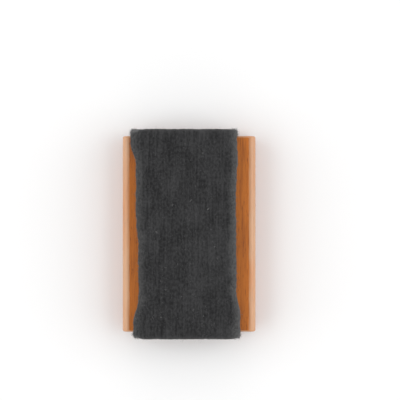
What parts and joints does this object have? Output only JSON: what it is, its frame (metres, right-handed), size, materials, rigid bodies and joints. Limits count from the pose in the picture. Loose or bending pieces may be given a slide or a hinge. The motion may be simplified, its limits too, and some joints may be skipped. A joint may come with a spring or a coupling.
{
  "type": "chalkboard eraser",
  "caption": "Chalkboard eraser: varnished wooden block with finger grooves along both sides and a padded dark felt face stapled over both ends.",
  "frame": {"origin": "centre of the footprint, on the plane that the wooden back rests on", "axes": "+X across the block, +Y along the block and its grain towards the far end, +Z from the wooden back out through the felt wiping face"},
  "size_m": [0.066, 0.103, 0.028],
  "materials": {
    "varnished_wood": "satin clear varnish over orange-brown stained hardwood, paler along worn edges",
    "underlay_felt": "dark grey needled felt, softer than the cover",
    "cover_felt": "dense charcoal pressed felt, matt with a short nap",
    "staple_wire": "galvanised flattened wire"
  },
  "bodies": {
    "root": {"wood_block": "varnished_wood", "underlay_lower": "underlay_felt", "underlay_upper": "underlay_felt", "felt_cover": "cover_felt", "staple_near_left": "staple_wire", "staple_near_middle": "staple_wire", "staple_near_right": "staple_wire", "staple_far_left": "staple_wire", "staple_far_middle": "staple_wire", "staple_far_right": "staple_wire"}
  },
  "joints": []
}
